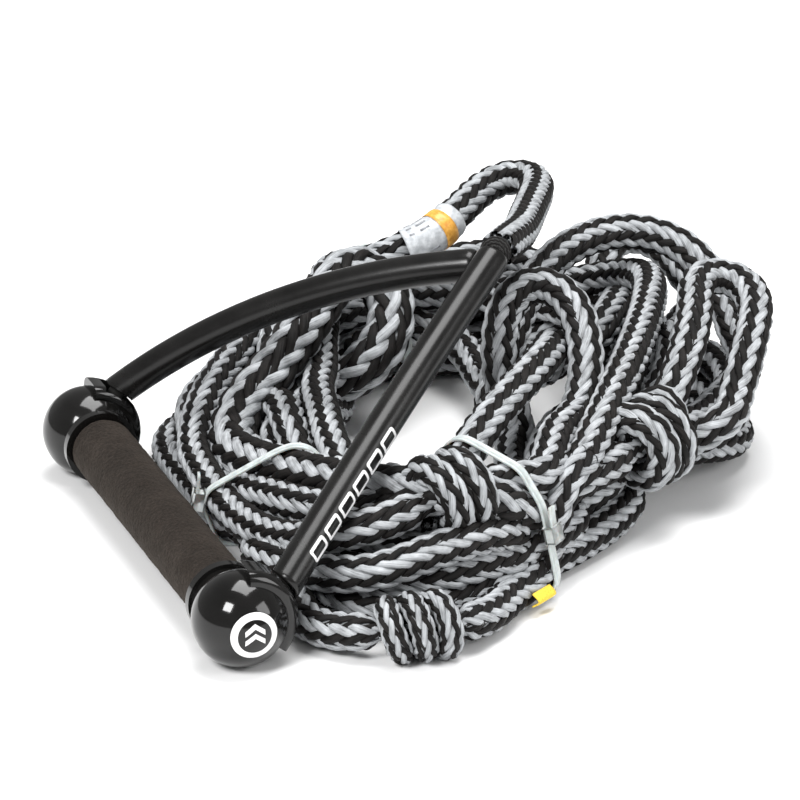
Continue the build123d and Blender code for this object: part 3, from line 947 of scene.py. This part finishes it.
def cable_tie(place):
    """Strap, its ratchet head and the trimmed tail of the strap."""
    loop, across, along = tie_loop(place)
    mesh = strip_mesh(f"strap_{place}", loop, along, TIE_WIDTH, TIE_THICK, True)
    strap = add_solid(f"strap_{place}", mesh, "nylon")
    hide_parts(f"tie_strap_{place}")
    low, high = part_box(f"tie_head_{place}")
    spot = int(np.linalg.norm(loop - np.array((low + high) / 2), axis=1).argmin())
    ahead = Vector(loop[(spot + 2) % len(loop)] - loop[spot - 2]).normalized()
    out = ahead.cross(along).normalized()
    centre = Vector(loop[spot]) + out * (TIE_THICK + 0.0016)
    mesh = soft_box(f"head_{place}", HEAD_SIZE, centre, (along, ahead, out), HEAD_BEVEL)
    head = add_solid(f"head_{place}", mesh, "nylon")
    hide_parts(f"tie_head_{place}")
    stub = [
        centre + ahead * t + out * (0.0003 + 6 * t * t) for t in np.linspace(0.002, 0.012, 8)
    ]
    mesh = strip_mesh(f"tail_{place}", np.array(stub), along, TIE_WIDTH * 0.92, TIE_THICK * 0.9, False)
    add_solid(f"strap_tail_{place}", mesh, "nylon")


for place in TIES:
    cable_tie(place)


# ---- label and tag
LABEL_PLACE = (0.106, 0.139, 0.077)
LABEL_LENGTH = 0.027
FILM_STEP, FILM_TURN = 0.0011, 0.13  # metres along the rope and radians round it
FULL_TURN = (0, 2 * pi)


def film_sleeve(name, middle, length, gap, thick, finish, turn=FULL_TURN, wrinkle=0.0):
    """Film wrapped round the rope: from one angle to another, with its own thickness."""
    material, slot_name = finish
    closed = turn == FULL_TURN
    steps = max(3, int(length / FILM_STEP))
    count = max(4, int((turn[1] - turn[0]) / FILM_TURN))
    at = middle + (np.linspace(0, 1, steps) - 0.5) * length / SAMPLE
    place, normal, binormal = line_at(at)
    vertices = []
    for level in (0, thick):
        for i in range(steps):
            for angle in np.linspace(*turn, count, endpoint=not closed):
                crease = wrinkle * sin(5 * angle + 900 * i * FILM_STEP) * sin(3.1 * angle + 2.0)
                reach = ROPE_R * 1.03 + gap + level + crease
                radial = normal[i] * cos(angle) + binormal[i] * sin(angle)
                vertices.append(tuple(place[i] + radial * reach))
    faces, block = [], steps * count
    for a in range(0, block - count, count):
        faces += [face[::-1] for face in ring_faces(a, a + count, count, closed)]
        faces += ring_faces(block + a, block + a + count, count, closed)
    last = block - count
    faces += ring_faces(0, block, count, closed)
    faces += [face[::-1] for face in ring_faces(last, block + last, count, closed)]
    if not closed:
        for a in range(0, last, count):
            b = a + count - 1
            faces.append((a, block + a, block + a + count, a + count))
            faces.append((b, b + count, block + b + count, block + b))
    return add_solid(name, solid_mesh(name, vertices, faces), material)


def add_label():
    """Wrapped label with plain printed bars and an orange band over it."""
    lead_part = line[: along_of("lead", -1)]
    middle = int(np.linalg.norm(lead_part - LABEL_PLACE, axis=1).argmin())
    film = ("label_film", "label_film")
    wrap = film_sleeve("label", middle, LABEL_LENGTH, 0.0, 0.0003, film, wrinkle=0.00025)
    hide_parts("label_wrap")
    shift = -0.0050 / SAMPLE
    orange = ("band_orange", "label_band")
    band = film_sleeve("band", middle + shift, 0.0058, 0.0005, 0.0002, orange)
    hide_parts("label_band")
    ink = ("label_ink", "label_film")
    for row in range(-6, 7):
        start = row * 0.42
        for bar, (offset, size) in enumerate(((0.0035, 0.006), (0.0095, 0.003))):
            place = middle + offset / SAMPLE
            length = size * (0.7 + 0.3 * ((row * 7 + bar * 3) % 3) / 2)
            name = f"label_bar_{row + 6}_{bar}"
            film_sleeve(name, place, length, 0.00055, 0.0001, ink, (start, start + 0.10))


TAG_LENGTH, TAG_THICK, TAG_FOLD = 0.0125, 0.0008, 0.0035


def add_tag():
    """Small folded tag of woven tape, sewn in beside the front tie."""
    low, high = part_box("care_tag")
    corner = Vector((low.x + 0.001, low.y + 0.0005, low.z))
    along = Vector((high.x - low.x, high.y - low.y, 0)).normalized()
    out = along.cross(Vector((0, 0, 1)))
    rise = high.z - low.z
    # out to the surface of the rope that lies beside it
    from_corner = line - np.array(corner)
    beside = np.abs(from_corner @ np.array(along) - 0.0065) < 0.010
    reach = from_corner @ np.array(out) + radius_along
    close = beside & (line[:, 2] < 0.022) & (np.abs(reach) < 0.022)
    if close.any():
        corner += out * min(float(reach[close].max()) + 0.0004, 0.014)
    loop = []
    for share in np.linspace(0, 1, 14):
        bulge = out * (TAG_FOLD * sin(pi * share))
        point = corner + bulge + Vector((0, 0, rise * share)) + along * 0.0065
        loop.append(tuple(point))
    mesh = strip_mesh("tag", np.array(loop), along, TAG_LENGTH, TAG_THICK, False)
    tag = add_solid("tag", mesh, "tag_yellow")
    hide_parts("care_tag")


add_label()
add_tag()


# ---- bridle
ARM_RISE = {"near": 0.002, "far": 0.0135}
ARM_ANGLE = {"near": 30.0, "far": 50.0}
ARM_END = {"near": NEAR_END, "far": Vector((0.075, 0.0115, 0.1125))}
SIDES = {"near": -1, "far": 1}
BALL_Y = 0.107
LOBE_R = 0.023
ARM_ROOT = 0.021
ARM_BORE_R = 0.00405
ARM_TIP = 0.0042  # rounding of the tip at the apex
ARM_SIDES = 48
TIP_RINGS = 6


def arc_through(start, middle, end, count):
    """Points of the round arc through three points."""
    a, b = middle - start, end - start
    across = a.cross(b)
    centre = start + (
        across.cross(a) * b.length_squared + b.cross(across) * a.length_squared
    ) / (2 * across.length_squared)
    first, last = start - centre, end - centre
    axis = across.normalized()
    whole = first.angle(last)
    side = axis.cross(first)
    return np.array(
        [centre + first * cos(whole * t) + side * sin(whole * t) for t in np.linspace(0, 1, count)]
    )


def clear_of_lobe(ring, way, clear):
    """A ring's points moved along the arm until they stand clear of the ball's lobe."""
    for k, (x, _, z) in enumerate(ring):
        out = hypot(x - HANDLE_X, z - BAR_HEIGHT)
        if out < clear:
            slope = (way[0] * (x - HANDLE_X) + way[2] * (z - BAR_HEIGHT)) / out
            ring[k] = ring[k] + way * (clear - out) / max(0.2, slope)


def arm_piece(side):
    """Extruded tube of one arm: fitted round the ball's lobe, closed by a rounded tip."""
    turn = radians(ARM_ANGLE[side])
    x, z = HANDLE_X + ARM_ROOT * cos(turn), BAR_HEIGHT + ARM_ROOT * sin(turn)
    start = Vector((x, SIDES[side] * BALL_Y, z))
    end = ARM_END[side]
    middle = (start + end) / 2 + Vector((0, 0, ARM_RISE[side]))
    path = arc_through(start, middle, end, 70)
    tangent, normal, binormal = frames_of(path)
    turns = np.arange(ARM_SIDES)[:, None] * 2 * pi / ARM_SIDES

    def ring_at(i, centre, reach):
        return centre + reach * (np.cos(turns) * normal[i] + np.sin(turns) * binormal[i])

    outside = ARM_R - 0.00007
    outer = [ring_at(i, path[i], outside) for i in range(len(path))]
    inner = [ring_at(i, path[i], ARM_BORE_R) for i in range(len(path))]
    for i in range(12):
        for ring in (outer[i], inner[i]):
            clear_of_lobe(ring, tangent[i], LOBE_R + 0.0004 + 0.0004 * i)
    for k in range(1, TIP_RINGS + 1):
        bend = k / (TIP_RINGS + 1) * pi / 2
        centre = path[-1] + tangent[-1] * ARM_TIP * sin(bend)
        outer.append(ring_at(-1, centre, outside - ARM_TIP * (1 - cos(bend))))
    rings = inner[::-1] + outer
    vertices = [tuple(point) for ring in rings for point in ring]
    faces = []
    for first in range(0, len(vertices) - ARM_SIDES, ARM_SIDES):
        faces += ring_faces(first, first + ARM_SIDES, ARM_SIDES)
    faces.append(tuple(range(ARM_SIDES))[::-1])
    faces.append(tuple(range(len(vertices) - ARM_SIDES, len(vertices))))
    mesh = solid_mesh(f"arm_{side}", vertices, faces)
    arm = add_solid(f"arm_{side}", mesh, "tube_gloss", "bridle")
    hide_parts(f"bridle_sleeve_{side}")


for side in SIDES:
    arm_piece(side)


WHIPPING_R, WHIPPING_CORD_R, WHIPPING_TURNS, WHIPPING_PITCH = 0.0052, 0.0017, 4.5, 0.02


def add_splice():
    """Whipping of thin cord that binds the splice at the apex."""
    axis = (Vector(ROUTES["lead"][1]) - SPLICE).normalized()
    first = axis.orthogonal().normalized()
    second = axis.cross(first)
    share = np.linspace(-1, 1, 220)
    turn = share * pi * WHIPPING_TURNS
    reach = WHIPPING_R * np.sqrt(np.maximum(1 - (share * 0.93) ** 2, 0.02))
    path = np.array(
        [
            SPLICE + axis * (WHIPPING_R * h) + (first * cos(t) + second * sin(t)) * r
            for h, t, r in zip(share, turn, reach)
        ]
    )
    radius = np.full(len(path), WHIPPING_CORD_R)
    phase = np.cumsum(steps_of(path)) * 2 * pi / WHIPPING_PITCH
    mesh = braid_mesh("splice", path, frames_of(path), radius, phase)
    splice = add_object("splice_whipping", mesh, "bridle")
    mesh.materials[0] = MATERIALS["core_yarn"]
    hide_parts("apex_splice")


add_splice()


# ---- grip
GRIP_AROUND, GRIP_ALONG = 150, 260
GRIP_BORE_R = 0.01105
GRIP_EDGE = 0.0016
NAP_DEPTH, WAVE_DEPTH = 0.00012, 0.00010


def neighbours(field, way):
    """Sum of a field's values on both sides, along the grip (0) or round it (1)."""
    return np.roll(field, 1, way) + np.roll(field, -1, way)


def add_grip():
    """Foam grip with a brushed, slightly uneven surface and rounded ends."""
    low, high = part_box("grip_sleeve")
    radius, length = (high.z - low.z) / 2, high.y - low.y
    seeded = np.random.default_rng(21)
    rough = seeded.normal(0, 1, (GRIP_ALONG, GRIP_AROUND))
    for _ in range(2):
        rough = (neighbours(rough, 0) + np.roll(rough, 1, 1) + rough * 2) / 5
    slow = seeded.normal(0, 1, (GRIP_ALONG, GRIP_AROUND))
    for _ in range(40):
        slow = (neighbours(slow, 0) + neighbours(slow, 1)) / 4
    height = rough * NAP_DEPTH + slow / slow.std() * WAVE_DEPTH
    turn = np.arange(GRIP_AROUND) * 2 * pi / GRIP_AROUND
    rings = []
    for i in range(GRIP_ALONG):
        y = low.y + length * i / (GRIP_ALONG - 1)
        edge = min(y - low.y, high.y - y)
        shrink = GRIP_EDGE * (1 - min(edge / GRIP_EDGE, 1.0)) ** 2
        rings.append((y, radius - 0.0002 - shrink + height[i]))
    rings += [(y, np.full(GRIP_AROUND, GRIP_BORE_R)) for y in (high.y, low.y)]
    vertices = [
        (HANDLE_X + r * cos(t), y, BAR_HEIGHT + r * sin(t))
        for y, reach in rings
        for r, t in zip(reach, turn)
    ]
    faces = []
    for i in range(len(rings)):
        faces += ring_faces(i * GRIP_AROUND, (i + 1) % len(rings) * GRIP_AROUND, GRIP_AROUND)
    grip = add_solid("grip", solid_mesh("grip", vertices, faces), "suede", "handle")
    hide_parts("grip_sleeve")


add_grip()

# ---- each cord's length along its line
for name, (piece, picked) in cords.items():
    path = line[picked]
    length = float(np.linalg.norm(np.diff(path, axis=0), axis=1).sum())

# ---- CAD pieces' finishes
FINISHES = {
    "ball_gloss": ("ball_cap", "end_plug"),
    "print_white": ("badge_print", "arm_print"),
    "core_yarn": ("bridle_rope", "end_knot"),
    "anodised": ("handle_tube",),
    "foam": ("foam_core",),
}


def finish_cad():
    """Materials of the CAD pieces that stay in sight."""
    for name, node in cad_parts.items():
        for finish, starts in FINISHES.items():
            if name.startswith(starts):
                node.data.materials.clear()
                node.data.materials.append(MATERIALS[finish])


finish_cad()


# ---- floor and lights
FLOOR_HALF = 6.0


def add_floor():
    a = FLOOR_HALF
    mesh = solid_mesh("floor", [(-a, -a, 0), (a, -a, 0), (a, a, 0), (-a, a, 0)], [(0, 1, 2, 3)])
    floor = bpy.data.objects.new("floor", mesh)
    SCENE.collection.objects.link(floor)
    tree, shader = new_material("pale_floor", 0.9, Specular_IOR_Level=0.1)
    grain = noise_value(tree, 3.0, 2.0, object_vector(tree))
    colour_from(tree, shader, grain, [(0.3, (0.86, 0.86, 0.86)), (0.7, (0.90, 0.90, 0.90))])
    mesh.materials.append(MATERIALS["pale_floor"])


def add_light(name, place, aim, size, power):
    data = bpy.data.lights.new(name, "AREA")
    data.shape = "SQUARE"
    data.size = size
    data.energy = power
    put(bpy.data.objects.new(name, data), place, aim)


def add_world():
    world = bpy.data.worlds.new("studio")
    world.use_nodes = True
    background = world.node_tree.nodes["Background"]
    background.inputs["Color"].default_value = (1, 1, 1, 1)
    background.inputs["Strength"].default_value = 0.35
    SCENE.world = world
    SCENE.view_settings.view_transform = "Standard"


add_floor()
add_light("key", (-1.3, -0.9, 1.5), (0.05, 0, 0.05), 0.7, 42.0)
add_light("top", (0.3, 0.2, 1.9), (0.08, 0, 0), 1.2, 40.0)
add_light("fill", (1.2, -1.2, 0.9), (0.08, 0, 0.05), 0.9, 14.0)
add_world()

bpy.context.view_layer.update()
